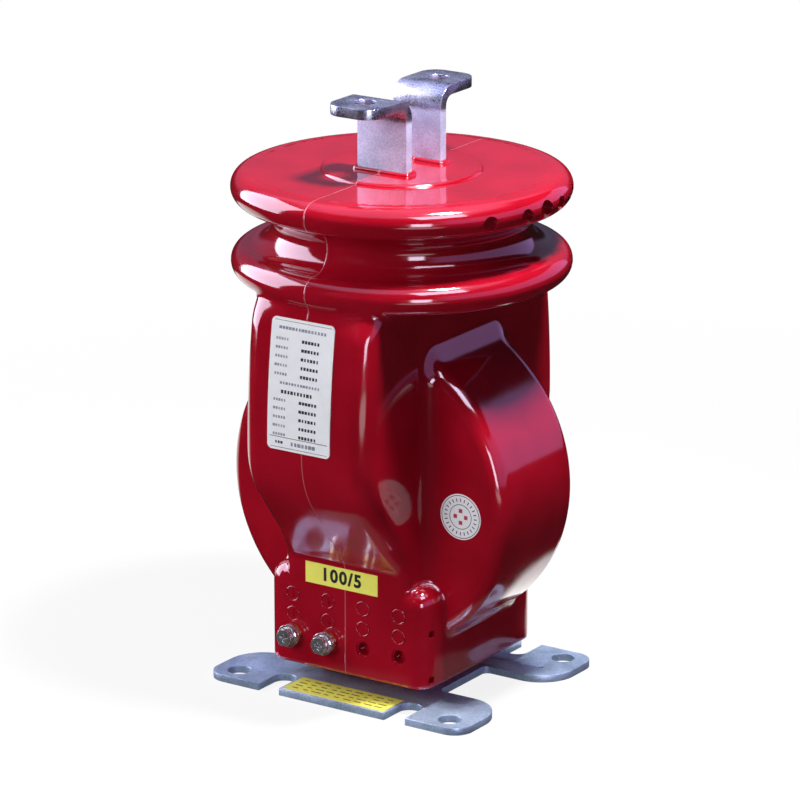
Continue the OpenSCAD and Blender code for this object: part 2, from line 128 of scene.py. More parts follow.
class Tree:
    """A node tree under construction."""

    def __init__(self, tree: bpy.types.NodeTree) -> None:
        """Empties a node tree and keeps it."""
        self.tree = tree
        tree.nodes.clear()

    def node(self, kind: str, inputs: dict | None = None, **settings: object) -> bpy.types.Node:
        """Adds a node.

        Args:
            kind: the node's type name.
            inputs: socket name or index to a value or a Sock.
            **settings: attributes set first, such as an operation.

        Returns:
            The new node.
        """
        node = self.tree.nodes.new(kind)
        for key, value in settings.items():
            setattr(node, key, value)
        for key, value in (inputs or {}).items():
            if isinstance(value, Sock):
                self.tree.links.new(value.socket, node.inputs[key])
            else:
                node.inputs[key].default_value = value
        return node

    def sock(self, kind: str, inputs: dict | None = None, out: int | str = 0, **settings: object) -> Sock:
        """Adds a node and returns one of its outputs."""
        return Sock(self, self.node(kind, inputs, **settings).outputs[out])

    def math(self, operation: str, *terms: Sock | float) -> Sock:
        """One Math node over the terms."""
        return self.sock("ShaderNodeMath", dict(enumerate(terms)), operation=operation)

    def mix(self, amount: Sock | float, low: Colour | Sock, high: Colour | Sock) -> Sock:
        """Colour between low and high by amount."""
        ends = [(*c, 1.0) if isinstance(c, tuple) else c for c in (low, high)]
        return self.sock("ShaderNodeMix", {0: amount, 6: ends[0], 7: ends[1]}, 2, data_type="RGBA")

    def split(self, output: str) -> list[Sock]:
        """Three components of an output of the Texture Coordinate node.

        Args:
            output: the output's name.

        Returns:
            X, Y and Z.
        """
        place = self.sock("ShaderNodeTexCoord", out=output)
        parts = self.node("ShaderNodeSeparateXYZ", {0: place})
        return [Sock(self, out) for out in parts.outputs]


class Shader(Tree):
    """A material under construction."""

    def __init__(self, name: str) -> None:
        """Starts a new material of that name.

        Args:
            name: the material's name.
        """
        self.material = bpy.data.materials.new(name)
        self.material.use_nodes = True
        super().__init__(self.material.node_tree)

    def xyz(self) -> list[Sock]:
        """The surface point in object coordinates, in millimetres."""
        return [part * (1 / MM) for part in self.split("Object")]

    def noise(self, size: float, detail: float = 3.0, stretch: Sequence[float] = (1, 1, 1)) -> Sock:
        """Noise between 0 and 1.

        Args:
            size: the width of its largest blots, in millimetres.
            detail: octaves.
            stretch: scale along X, Y and Z.

        Returns:
            The noise value.
        """
        place = self.sock("ShaderNodeTexCoord", out="Object")
        place = self.sock("ShaderNodeMapping", {"Vector": place, "Scale": tuple(stretch)})
        grain = {"Scale": 1 / (size * MM), "Detail": detail, "Roughness": 0.55}
        return self.sock("ShaderNodeTexNoise", {"Vector": place, **grain})

    def bump(self, height: Sock, depth: float) -> Sock:
        """Normal from a height of 0 to 1, where 1 is a real height of depth millimetres."""
        return self.sock("ShaderNodeBump", {"Height": height, "Strength": 1.0, "Distance": depth * MM})

    def surface(self, **values: Sock | float) -> Material:
        """Ends the tree in a Principled BSDF.

        Args:
            **values: socket names with underscores for spaces.

        Returns:
            The finished material.
        """
        inputs = {key.replace("_", " "): value for key, value in values.items()}
        self.node("ShaderNodeOutputMaterial", {0: self.sock("ShaderNodeBsdfPrincipled", inputs)})
        return self.material


# Finishes


@dataclass(frozen=True)
class ResinFinish:
    """Glossy red casting resin with the mould's parting line: a ridge in the bump with a painted highlight
    along it in the colour.
    """

    deep: Colour = (0.315, 0.0026, 0.0120)
    light: Colour = (0.380, 0.0040, 0.0165)
    # The parting line's paler pink is a painted highlight along its ridge
    seam: Colour = (0.70, 0.22, 0.26)
    seam_half: float = 0.34
    seam_highlight_share: float = 0.42
    rough: float = 0.075
    rough_spread: float = 0.06
    ior: float = 1.53
    coat: float = 0.35
    coat_rough: float = 0.03
    relief: float = 0.30

    def build(self) -> Material:
        """Makes the material.

        Returns:
            The material.
        """
        s = Shader("resin_gloss")
        x, _, _ = s.xyz()
        # One mask of the parting line: a real ridge in the bump and a painted highlight in the colour
        seam = abs(x).step(self.seam_half * 1.6, self.seam_half * 0.6)
        body = s.mix(s.noise(38, 2).step(0.3, 0.7), self.deep, self.light)
        ripple = s.noise(26, 1) * 0.55 + s.noise(2.6, 2) * 0.02
        return s.surface(
            Base_Color=s.mix(seam * self.seam_highlight_share, body, self.seam),
            Roughness=self.rough + s.noise(9, 2) * self.rough_spread,
            IOR=self.ior,
            Coat_Weight=self.coat,
            Coat_Roughness=self.coat_rough,
            Normal=s.bump(ripple + seam * 0.9, self.relief),
        )


@dataclass(frozen=True)
class MetalFinish:
    """A plated or bare metal with grain in its colour, gloss and relief; below a height it may be duller,
    with a pale lilac colour there that is a painted reflection.
    """

    name: str
    low: Colour
    high: Colour
    rough: tuple[float, float]
    grain: float = 1.2
    relief: float = 0.02
    metallic: float = 1.0
    dull_below: float | None = None
    stretch: tuple[float, float, float] = (1, 1, 1)
    dull_fade: float = 4.0
    # Pale lilac below dull_below: a painted reflection of the studio's light on the uprights
    lilac_reflection_low: Colour = (0.44, 0.55, 0.76)
    lilac_reflection_high: Colour = (0.66, 0.76, 1.0)
    dull_metallic: float = 0.34
    dull_rough: float = 0.22

    def build(self) -> Material:
        """Makes the material.

        Returns:
            The material.
        """
        s = Shader(self.name)
        fine = s.noise(self.grain, 4, self.stretch)
        broad = s.noise(self.grain * 14, 3)
        blend = fine * 0.6 + broad * 0.4
        plating = s.mix(blend.step(0.34, 0.66), self.low, self.high)
        rough = self.rough[0] + blend.step(0.3, 0.7) * (self.rough[1] - self.rough[0])
        metallic: Sock | float = self.metallic
        if self.dull_below is not None:
            # Below the height the finish is rougher and less metallic, and its pale lilac colour is a
            # painted reflection
            dull_and_reflection = s.xyz()[2].step(self.dull_below + self.dull_fade, self.dull_below)
            lilac_sheen = s.mix(blend.step(0.38, 0.62), self.lilac_reflection_low, self.lilac_reflection_high)
            plating = s.mix(dull_and_reflection, plating, lilac_sheen)
            metallic = self.metallic + dull_and_reflection * (self.dull_metallic - self.metallic)
            rough = rough + dull_and_reflection * self.dull_rough
        return s.surface(
            Base_Color=plating, Metallic=metallic, Roughness=rough, Normal=s.bump(fine, self.relief)
        )


@dataclass(frozen=True)
class SheetFinish:
    """Printed film or paper, faintly uneven."""

    name: str
    colour: Colour
    shade: Colour
    rough: float = 0.35

    def build(self) -> Material:
        """Makes the material.

        Returns:
            The material.
        """
        s = Shader(self.name)
        blot = s.noise(7, 3)
        return s.surface(
            Base_Color=s.mix(blot.step(0.35, 0.75), self.colour, self.shade),
            Roughness=self.rough + blot * 0.12,
            Normal=s.bump(s.noise(1.5, 2), 0.01),
        )


class Wind(Enum):
    """What a ring inside the casting is wound from."""

    STRIP = "strip"
    WIRE = "wire"
    TAPE = "tape"


@dataclass(frozen=True)
class RingFinish:
    """A wound ring: layers of strip, turns of wire or laps of tape."""

    name: str
    wind: Wind
    low: Colour
    high: Colour
    centre_z: float
    along_x: bool = False
    metallic: float = 0.0
    rough: float = 0.45
    layer: float = 1.1
    turns: float = 180.0
    laps: float = 44.0
    lean: float = 0.12

    def build(self) -> Material:
        """Makes the material.

        Returns:
            The material.
        """
        s = Shader(self.name)
        x, y, z = s.xyz()
        side, along = (y, x) if self.along_x else (x, y)
        up = z - self.centre_z
        turn = up.math("ARCTAN2", side)
        if self.wind is Wind.STRIP:
            line = side.hypot(up) * (2 * math.pi / self.layer)
        elif self.wind is Wind.WIRE:
            line = turn * self.turns
        else:
            line = turn * self.laps + along * self.lean
        wave = line.math("SINE") * 0.5 + 0.5
        return s.surface(
            Base_Color=s.mix(wave * 0.7 + s.noise(5, 3) * 0.3, self.low, self.high),
            Metallic=self.metallic,
            Roughness=self.rough + s.noise(3, 2) * 0.15,
            Normal=s.bump(wave, 0.12),
        )


# Geometry Nodes


class GeoTree(Tree):
    """A Geometry Nodes tree with named inputs that ends in one dressed mesh."""

    def __init__(self, name: str) -> None:
        """Starts a new tree of that name.

        Args:
            name: the tree's name.
        """
        super().__init__(bpy.data.node_groups.new(name, "GeometryNodeTree"))
        self.tree.interface.new_socket("Geometry", in_out="OUTPUT", socket_type="NodeSocketGeometry")
        self.inlet = self.tree.nodes.new("NodeGroupInput")
        self.names: dict[str, str] = {}

    def inputs(self, *names: str, kind: str = "Float") -> list[Sock]:
        """Adds named inputs to the tree.

        Args:
            *names: their names.
            kind: their socket type.

        Returns:
            Their sockets inside the tree.
        """
        for name in names:
            item = self.tree.interface.new_socket(name, in_out="INPUT", socket_type=f"NodeSocket{kind}")
            self.names[name] = item.identifier
        return [Sock(self, self.inlet.outputs[name]) for name in names]

    def vector(self, *parts: Sock | float) -> Sock:
        """A vector from three values."""
        return self.sock("ShaderNodeCombineXYZ", dict(enumerate(parts)))

    def grid(self, across: str, pitch: str) -> tuple[Sock, Sock]:
        """A centred grid of points in the XY plane.

        Args:
            across: the name of the input that counts the points in a row.
            pitch: the name of the input that spaces them.

        Returns:
            The points and that spacing.
        """
        count, rows = self.inputs(across, "Rows", kind="Int")
        step, lead = self.inputs(pitch, "Row Pitch")
        size = {"Size X": (count - 1.0) * step, "Size Y": (rows - 1.0) * lead}
        return self.sock("GeometryNodeMeshGrid", {**size, "Vertices X": count, "Vertices Y": rows}), step

    def on_circle(self, count: Sock, radius: Sock, turn: Sock, height: Sock | float = 0.0) -> Sock:
        """Points on a circle about Z, each at its own turn in radians.

        Args:
            count: how many points.
            radius: the circle's radius.
            turn: each point's own turn, in radians.
            height: their place along Z.

        Returns:
            The points.
        """
        line = self.sock("GeometryNodeMeshLine", {"Count": count})
        spot = self.vector(radius * turn.math("COSINE"), radius * turn.math("SINE"), height)
        return self.sock("GeometryNodeSetPosition", {"Geometry": line, "Position": spot})

    def finish(self, material: Material, points: Sock, piece: Sock, **values: Sock) -> "GeoTree":
        """Ends the tree in real, dressed copies of a piece on some points.

        Args:
            material: their finish.
            points: where the copies go.
            piece: what is copied.
            **values: Rotation or Scale of each copy.

        Returns:
            The tree itself.
        """
        placed = self.sock("GeometryNodeInstanceOnPoints", {"Points": points, "Instance": piece, **values})
        real = self.sock("GeometryNodeRealizeInstances", {"Geometry": placed})
        dressed = self.sock("GeometryNodeSetMaterial", {"Geometry": real, "Material": material})
        self.node("NodeGroupOutput", {0: dressed})
        return self

    def grow(self, name: str, place: Matrix | None = None, **values: float) -> Piece:
        """Runs the tree and keeps its result as a plain mesh.

        Args:
            name: the new piece's name.
            place: where the tree's own axes go, in metres.
            **values: the tree's inputs by name, with underscores for spaces.

        Returns:
            The new object, at the origin.
        """
        seed = bpy.data.objects.new(f"{name}_seed", bpy.data.meshes.new(f"{name}_seed"))
        bpy.context.collection.objects.link(seed)
        modifier = seed.modifiers.new("grow", "NODES")
        modifier.node_group = self.tree
        for key, value in values.items():
            modifier[self.names[key.replace("_", " ")]] = value
        mesh = evaluated_mesh(seed)
        bpy.data.objects.remove(seed)
        mesh.transform(place or Matrix.Identity(4))
        return new_object(name, mesh)


def rows_of_ink(material: Material) -> GeoTree:
    """Printed rows: short flat bars on a grid, each of a random length, as words are.

    Rows run along X in the XY plane.

    Args:
        material: the finish of what it makes.

    Returns:
        The finished tree.
    """
    t = GeoTree("rows_of_ink")
    points, pitch = t.grid("Words", "Word Pitch")
    tall, thick, least = t.inputs("Letter Height", "Ink Thickness", "Least Length")
    (seed,) = t.inputs("Seed", kind="Int")
    bar = t.sock("GeometryNodeMeshCube", {"Size": t.vector(1.0, tall, thick)})
    span = {2: least, 3: pitch * LONGEST_WORD, "Seed": seed}
    length = t.sock("FunctionNodeRandomValue", span, 1, data_type="FLOAT")
    return t.finish(material, points, bar, Scale=t.vector(length, 1.0, 1.0))


def rows_of_rings(material: Material) -> GeoTree:
    """Raised rings on a grid in the XY plane, as cast round the terminal marks.

    Args:
        material: the finish of what it makes.

    Returns:
        The finished tree.
    """
    t = GeoTree("rows_of_rings")
    points, _ = t.grid("Across", "Pitch")
    radius, wire = t.inputs("Ring Radius", "Wire Radius")
    path, section = (
        t.sock("GeometryNodeCurvePrimitiveCircle", {"Resolution": count, "Radius": size})
        for count, size in ((40, radius), (10, wire))
    )
    ring = t.sock("GeometryNodeCurveToMesh", {"Curve": path, "Profile Curve": section})
    return t.finish(material, points, ring)


def pegs_round_a_rim(material: Material) -> GeoTree:
    """Cylinders that point outwards on a rim, closer together towards its middle.

    The place of peg i, counted from the middle, is i * (near + spread * |i|) degrees.

    Args:
        material: the finish of what it makes.

    Returns:
        The finished tree.
    """
    t = GeoTree("pegs_round_a_rim")
    (count,) = t.inputs("Count", kind="Int")
    near, spread, rim, height = t.inputs("Near", "Spread", "Rim Radius", "Height")
    peg_r, peg_l, swell = t.inputs("Peg Radius", "Peg Length", "Middle Swell")
    place = t.sock("GeometryNodeInputIndex") - (count - 1.0) / 2.0
    turn = (place * (near + spread * abs(place))).math("RADIANS")
    points = t.on_circle(count, rim, turn, height)
    peg = t.sock("GeometryNodeMeshCylinder", {"Vertices": 40, "Radius": peg_r, "Depth": peg_l})
    wide = 1.0 + abs(place).math("LESS_THAN", 0.5) * swell
    outwards = t.vector(0.0, math.pi / 2, turn)
    return t.finish(material, points, peg, Rotation=outwards, Scale=t.vector(wide, wide, wide))


def ticks_round_a_dial(material: Material) -> GeoTree:
    """Short radial bars round a circle in the XY plane.

    Args:
        material: the finish of what it makes.

    Returns:
        The finished tree.
    """
    t = GeoTree("ticks_round_a_dial")
    (count,) = t.inputs("Count", kind="Int")
    radius, long, wide, thick = t.inputs("Radius", "Tick Length", "Tick Width", "Ink Thickness")
    turn = t.sock("GeometryNodeInputIndex") * t.math("DIVIDE", 2 * math.pi, count)
    bar = t.sock("GeometryNodeMeshCube", {"Size": t.vector(long, wide, thick)})
    points = t.on_circle(count, radius, turn)
    return t.finish(material, points, bar, Rotation=t.vector(0.0, 0.0, turn))


# Mesh helpers


def evaluated_mesh(piece: Piece) -> bpy.types.Mesh:
    """A new mesh of an object with its modifiers applied."""
    return bpy.data.meshes.new_from_object(piece.evaluated_get(bpy.context.evaluated_depsgraph_get()))


def in_mm(box: Sequence[Sequence[float]]) -> tuple[Array, Array, Array]:
    """Lowest corner, highest corner and middle of a box in metres, as arrays in millimetres."""
    low, high = (np.array(point) / MM for point in box)
    return low, high, (low + high) / 2


def facing(spot: Sequence[float]) -> Matrix:
    """Stands the XY plane up at a spot in millimetres, so that it faces -Y."""
    return Matrix.Translation(Vector(spot) * MM) @ Matrix.Rotation(math.pi / 2, 4, "X")


def gathered(items: bpy.types.bpy_prop_collection, key: str, width: int = 1, kind: type = float) -> Array:
    """One attribute of every item of a mesh, as an array.

    Args:
        items: vertices, loops or polygons.
        key: the attribute's name.
        width: how many numbers each item has.
        kind: float or int.

    Returns:
        One row for each item, or a flat array where width is 1.
    """
    flat = np.empty(len(items) * width, kind)
    items.foreach_get(key, flat)
    return flat.reshape(-1, width) if width > 1 else flat


def new_object(name: str, mesh: bpy.types.Mesh) -> Piece:
    """Links a mesh to the scene as an object at the origin.

    Args:
        name: the name of both.
        mesh: the mesh.

    Returns:
        The new object.
    """
    mesh.name = name
    made = bpy.data.objects.new(name, mesh)
    bpy.context.collection.objects.link(made)
    return made


def dress(piece: Piece, material: Material, slot: str, *nodes: str) -> None:
    """Gives a piece its finish, hangs it under the root body and hides the CAD nodes that it stands for.

    Args:
        piece: the object.
        material: its finish.
        slot: the record's material slot; not used.
        *nodes: the CAD nodes that it stands for.
    """
    piece.data.materials.clear()
    piece.data.materials.append(material)
    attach(piece, ROOT)
    if nodes:
        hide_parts(*nodes)
    LOG.info("%s: %d faces", piece.name, len(piece.data.polygons))


def shade(mesh: bpy.types.Mesh, angle: float) -> None:
    """Shades a mesh smooth, with edges sharper than angle degrees kept."""
    mesh.shade_smooth()
    mesh.set_sharp_from_angle(angle=math.radians(angle))


def modify(piece: Piece, kind: str, **settings: object) -> None:
    """Changes a piece's mesh by one modifier, which isn't kept.

    Args:
        piece: the object.
        kind: the modifier's type.
        **settings: its settings.
    """
    modifier = piece.modifiers.new("change", kind)
    for key, value in settings.items():
        setattr(modifier, key, value)
    mesh, old = evaluated_mesh(piece), piece.data
    piece.modifiers.clear()
    piece.data = mesh
    bpy.data.meshes.remove(old)
    mesh.name = piece.name


def poured(work: bmesh.types.BMesh, name: str) -> bpy.types.Mesh:
    """Turns a bmesh into a new mesh and frees it.

    Args:
        work: the bmesh.
        name: the mesh's name.

    Returns:
        The new mesh.
    """
    mesh = bpy.data.meshes.new(name)
    work.to_mesh(mesh)
    work.free()
    return mesh


def bevelled_copy(node: str, name: str, width: float, segments: int) -> Piece:
    """A copy of a CAD node with its edges rounded.

    Args:
        node: the CAD node.
        name: the new piece's name.
        width: the bevel, in millimetres.
        segments: how many faces round it.

    Returns:
        The new object.
    """
    work = bmesh.new()
    work.from_mesh(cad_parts[node].data)
    bmesh.ops.remove_doubles(work, verts=work.verts, dist=2e-6)
    bmesh.ops.dissolve_limit(
        work, angle_limit=math.radians(0.6), verts=work.verts, edges=work.edges, delimit={"NORMAL"}
    )
    bmesh.ops.recalc_face_normals(work, faces=work.faces)
    piece = new_object(name, poured(work, name))
    limit = {"limit_method": "ANGLE", "angle_limit": math.radians(40), "use_clamp_overlap": True}
    modify(piece, "BEVEL", width=width * MM, segments=segments, **limit)
    shade(piece.data, 28)
    return piece


def from_rings(name: str, rings: Sequence[Array], caps: bool = True) -> Piece:
    """A skin over a row of closed rings with the same number of points.

    Args:
        name: the new piece's name.
        rings: arrays of points in millimetres, anticlockwise seen from the last ring's side.
        caps: whether both ends get a face.

    Returns:
        The new object.
    """
    count, size = len(rings), len(rings[0])
    faces = []
    for i in range(count - 1):
        a, b = i * size, (i + 1) * size
        faces += [(a + j, a + (j + 1) % size, b + (j + 1) % size, b + j) for j in range(size)]
    if caps:
        faces.append(tuple(range(size - 1, -1, -1)))
        faces.append(tuple((count - 1) * size + j for j in range(size)))
    rough = bpy.data.meshes.new(name)
    rough.from_pydata((np.concatenate(rings) * MM).tolist(), [], faces)
    work = bmesh.new()
    work.from_mesh(rough)
    bpy.data.meshes.remove(rough)
    bmesh.ops.recalc_face_normals(work, faces=work.faces)
    mesh = poured(work, name)
    shade(mesh, 50)
    return new_object(name, mesh)


def rounded_ring(
    half_x: float, half_y: float, radius: float, z: float, centre_y: float, steps: int = 8
) -> Array:
    """Points round a rounded rectangle at one height, in millimetres.

    Args:
        half_x: half its width along X.
        half_y: half its width along Y.
        radius: of its corners.
        z: its height.
        centre_y: its middle's place along Y.
        steps: how many edges round a corner.

    Returns:
        One row for each point, anticlockwise from above.
    """
    points = []
    for quarter, (sx, sy) in enumerate(((1, 1), (-1, 1), (-1, -1), (1, -1))):
        for k in range(steps + 1):
            a = math.pi / 2 * (quarter + k / steps)
            x = sx * (half_x - radius) + radius * math.cos(a)
            y = centre_y + sy * (half_y - radius) + radius * math.sin(a)
            points.append((x, y, z))
    return np.array(points)


# Distance fields, in millimetres


def corner(a: Array, b: Array, radius: float) -> Array:
    """Where two walls at distances a and b meet in a convex edge of the given radius."""
    a, b = a + radius, b + radius
    return np.minimum(np.maximum(a, b), 0) + np.hypot(np.maximum(a, 0), np.maximum(b, 0)) - radius


def weld(a: Array, b: Array, radius: float | Array) -> Array:
    """Union of two fields with a round fillet where they meet."""
    u, v = np.maximum(radius - a, 0), np.maximum(radius - b, 0)
    return np.maximum(radius, np.minimum(a, b)) - np.hypot(u, v)


Field = Callable[[Array, Array, Array], Array]


def skin(
    shape: Field, low: Sequence[float], high: Sequence[float], cell: float
) -> tuple[Array, Array]:
    """Meshes the zero surface of a field with surface nets.

    Args:
        shape: the distance field, negative inside.
        low: lowest corner of the grid.
        high: highest corner, outside the shape as low is.
        cell: the grid's step.

    Returns:
        Points, moved onto the surface, and quads with outward faces.
    """
    axes = [np.arange(lo, hi + cell, cell) for lo, hi in zip(low, high)]
    value = shape(*np.meshgrid(*axes, indexing="ij"))
    cells = tuple(n - 1 for n in value.shape)
    total, hits = np.zeros((*cells, 3)), np.zeros(cells, int)
    edges = []
    for a in range(3):
        b, c = (a + 1) % 3, (a + 2) % 3
        v0, v1 = np.delete(value, -1, a), np.delete(value, 0, a)
        at = np.argwhere((v0 < 0) != (v1 < 0))
        w0, w1 = v0[tuple(at.T)], v1[tuple(at.T)]
        spot = np.stack([axes[k][at[:, k]] for k in range(3)], 1)
        spot[:, a] += cell * w0 / (w0 - w1)
        around = []
        for db, dc in ((0, 0), (-1, 0), (-1, -1), (0, -1)):
            box = at.copy()
            box[:, b] += db
            box[:, c] += dc
            around.append(tuple(box.T))
            total[around[-1]] += spot
            hits[around[-1]] += 1
        edges.append((around, w0 < 0))
    index = np.full(cells, -1)
    index[hits > 0] = np.arange(int((hits > 0).sum()))
    points = total[hits > 0] / hits[hits > 0][:, None]
    quads = []
    for around, outward in edges:
        four = np.stack([index[box] for box in around], 1)
        quads.append(np.where(outward[:, None], four, four[:, ::-1]))
    for _ in range(4):
        slope = gradient(shape, points)
        away = np.clip(shape(*points.T), -cell, cell)
        points = points - slope * (away / np.maximum((slope**2).sum(1), 0.2))[:, None]
    return points, np.concatenate(quads)


def gradient(shape: Field, points: Array, step: float = 0.04) -> Array:
    """Slope of a field at some points, by central differences.

    Args:
        shape: the field.
        points: one row for each point.
        step: how far each side a sample is.

    Returns:
        One row for each point.
    """
    sides = np.eye(3) * step
    slopes = [(shape(*(points + side).T) - shape(*(points - side).T)) / (2 * step) for side in sides]
    return np.stack(slopes, 1)


# The casting


@dataclass
class Casting:
    """The resin body, with its marks, boss and collars. Sizes are in millimetres."""

    shed_r: float = field(default_factory=lambda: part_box("resin_body")[1][0] / MM)
    bulge_y: float = field(default_factory=lambda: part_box("resin_body")[1][1] / MM)
    shed_t: float = 18.6
    shed_low: float = 257.2
    shed_high: float = 301.5
    rim_ease: float = 4.5
    neck_r: float = 76.5
    boss_r: float = 47.5
    boss_h: float = 2.0
    under_r: float = 4.0
    drum_r: float = 96.5
    drum_hy: float = 40.0
    drum_z: float = 124.0
    drum_edge: float = 9.0
    bulge_hx: float = 43.7
    bulge_z: float = 160.5
    bulge_low_r: float = 53.5
    bulge_top_r: float = 515.0
    bulge_edge: float = 12.0
    hip_r: float = 10.75
    block_hx: float = 56.0
    block_hy: float = 60.0
    block_z: float = 15.6
    block_top: float = 76.5
    block_edge: float = 10.5
    block_foot_edge: float = 2.5
    chin_r: float = 2.0
    heel_r: float = 3.0
    prism_edge: float = 7.0
    edge_low: float = 82.0
    edge_fade: float = 22.0
    chin_low: float = 60.0
    chin_top: float = 95.0
    turn_in: float = 3.0
    turn_slope: tuple[float, float] = (0.7682, 0.6402)
    turn_edge: float = 6.0
    seam_r: float = 2.5
    seam_x: float = 39.0
    seam_fade: float = 4.0
    foot_h: float = 35.0
    foot_z: float = 4.5
    foot_top: float = 40.0
    foot_edge: float = 1.0
    term_pitch: float = 25.0
    term_z: float = 34.5
    mark_pitch: float = 12.5
    cell: float = 2.0
    spare: float = 5.0
    bar_t: float = 6.0
    bar_y: float = 18.0
    mark_r: float = 4.3
    mark_wire: float = 0.42
    figure_tall: float = 6.0
    hole_steps: tuple[tuple[float, float], ...] = ((5.2, 1.0), (4.2, 6.5))
    square: float = 4.0
    square_y: float = -52.0
    square_z: tuple[float, float] = (21.5, 50.0)

    @property
    def shed_top(self) -> float:
        """Height of the top face."""
        return self.shed_high + self.shed_t / 2

    def head(self, x: Array, y: Array, z: Array) -> Array:
        """Two round-edged sheds and the neck between them.

        Args:
            x, y, z: coordinates of the points.

        Returns:
            The distance, negative inside.
        """
        rho, half = np.hypot(x, y), self.shed_t / 2
        past = np.clip(rho - (self.shed_r - half), -self.rim_ease, None)
        out = np.where(past < self.rim_ease, (past + self.rim_ease) ** 2 / (4 * self.rim_ease), past)
        low, high = (np.hypot(out, z - mid) - half for mid in (self.shed_low, self.shed_high))
        groove = (self.shed_high - self.shed_low - self.shed_t) / 2
        middle = (self.shed_low + self.shed_high) / 2
        neck = np.maximum(rho - self.neck_r, np.abs(z - middle) - groove - half)
        return weld(weld(neck, low, groove), high, groove)

    def drum(self, x: Array, y: Array, z: Array) -> Array:
        """The round drum at both sides."""
        return corner(np.hypot(x, z - self.drum_z) - self.drum_r, np.abs(y) - self.drum_hy, self.drum_edge)

    def upright(self, x: Array, y: Array, z: Array) -> Array:
        """The upright core with a bulge in front and behind.

        Its profile is a wide upper arc, a lower arc, a slope of 3 in 4 and a chin
        that ends it flush with the block. Under the shed its corners are turned back.

        Args:
            x, y, z: coordinates of the points.

        Returns:
            The distance, negative inside.
        """
        deep = np.abs(y)
        dy, dz = deep - (self.bulge_y - self.bulge_low_r), z - self.bulge_z
        upper = np.hypot(deep - self.bulge_y + self.bulge_top_r, dz) - self.bulge_top_r
        arc = np.hypot(dy, dz) - self.bulge_low_r
        slope = 0.8 * dy - 0.6 * dz - self.bulge_low_r
        face = np.where(dz >= 0, upper, np.where(0.6 * dy + 0.8 * dz < 0, slope, arc))
        face = weld(face, np.maximum(deep - self.block_hy, z - self.chin_top), self.chin_r)
        face = np.maximum(face, np.maximum(self.chin_low - z, z - self.shed_low))
        share = np.clip((z - self.edge_low) / self.edge_fade, 0, 1)
        edge = self.prism_edge + (self.bulge_edge - self.prism_edge) * share
        made = corner(face, np.abs(x) - self.bulge_hx, edge)
        out = np.hypot(x, y) - self.shed_r + self.turn_in
        below = self.shed_low - 0.75 * self.shed_t / 2 - z
        cos, sin = self.turn_slope
        return corner(made, np.minimum(out, cos * out - sin * below), self.turn_edge)

    def block(self, x: Array, y: Array, z: Array) -> Array:
        """The terminal block with rounded columns, and the foot under it.

        Args:
            x, y, z: coordinates of the points.

        Returns:
            The distance, negative inside.
        """
        wall = corner(np.abs(x) - self.block_hx, np.abs(y) - self.block_hy, self.block_edge)
        top = corner(wall, z - self.block_top, self.block_edge)
        under = corner(wall, self.block_z - z, self.block_foot_edge)
        square = np.maximum(np.abs(x), np.abs(y)) - self.foot_h
        foot = corner(square, np.maximum(self.foot_z - z, z - self.foot_top), self.foot_edge)
        return np.minimum(np.maximum(top, under), foot)

    def __call__(self, x: Array, y: Array, z: Array) -> Array:
        """Distance to the whole casting.

        Args:
            x, y, z: coordinates of the points.

        Returns:
            The distance, negative inside.
        """
        drum, upright, block = self.drum(x, y, z), self.upright(x, y, z), self.block(x, y, z)
        body = weld(drum, upright, self.hip_r)
        seam = self.seam_r * np.clip((np.abs(x) - self.seam_x) / self.seam_fade, 0, 1)
        body = np.minimum(weld(body, block, seam), weld(drum, block, self.heel_r))
        return weld(body, self.head(x, y, z), self.under_r)

    def skin_object(self) -> Piece:
        """Meshes the distance field.

        Returns:
            The new object.
        """
        rim, front = self.shed_r + self.spare, self.bulge_y + self.spare
        low, high = (-rim, -front, self.foot_z - self.spare), (rim, front, self.shed_top + self.spare)
        points, quads = skin(self, low, high, self.cell)
        mesh = bpy.data.meshes.new("resin_skin")
        mesh.from_pydata((points * MM).tolist(), [], quads.tolist())
        return new_object("resin_skin", mesh)

    def cutters(self, material: Material) -> list[Piece]:
        """What is cut from the skin: rim marks, two unused terminal holes and square recesses.

        Args:
            material: the casting's finish.

        Returns:
            The tools.
        """
        made = [pegs_round_a_rim(material).grow(
            "cut_rim", Count=5, Near=8.0, Spread=2.5, Middle_Swell=0.31, Peg_Radius=4.9 * MM,
            Peg_Length=8 * MM, Rim_Radius=(self.shed_r + 1.4) * MM, Height=(self.shed_high - 1.8) * MM,
        )]
        for i in (0.5, 1.5):
            for radius, depth in self.hole_steps:
                mouth = (i * self.term_pitch, -self.block_hy, self.term_z)
                made.append(self.peg(f"cut_{radius}_{i}", mouth, radius, depth))
        for side in (-1, 1):
            for z in self.square_z:
                name, work = f"cut_square_{side}_{z}", bmesh.new()
                spot = Vector((side * (self.block_hx - self.square / 4), self.square_y, z)) * MM
                bmesh.ops.create_cube(work, size=self.square * MM, matrix=Matrix.Translation(spot))
                made.append(new_object(name, poured(work, name)))
        return made

    def peg(self, name: str, mouth: tuple[float, float, float], radius: float, depth: float) -> Piece:
        """A cylinder that runs into the front face from its mouth.

        Args:
            name: the tool's name.
            mouth: the middle of its mouth.
            radius: at the mouth.
            depth: how far it runs in.

        Returns:
            The tool.
        """
        work = bmesh.new()
        size = {"radius1": radius * 0.9 * MM, "radius2": radius * MM, "depth": 2 * depth * MM}
        bmesh.ops.create_cone(work, cap_ends=True, segments=40, matrix=facing(mouth), **size)
        return new_object(name, poured(work, name))

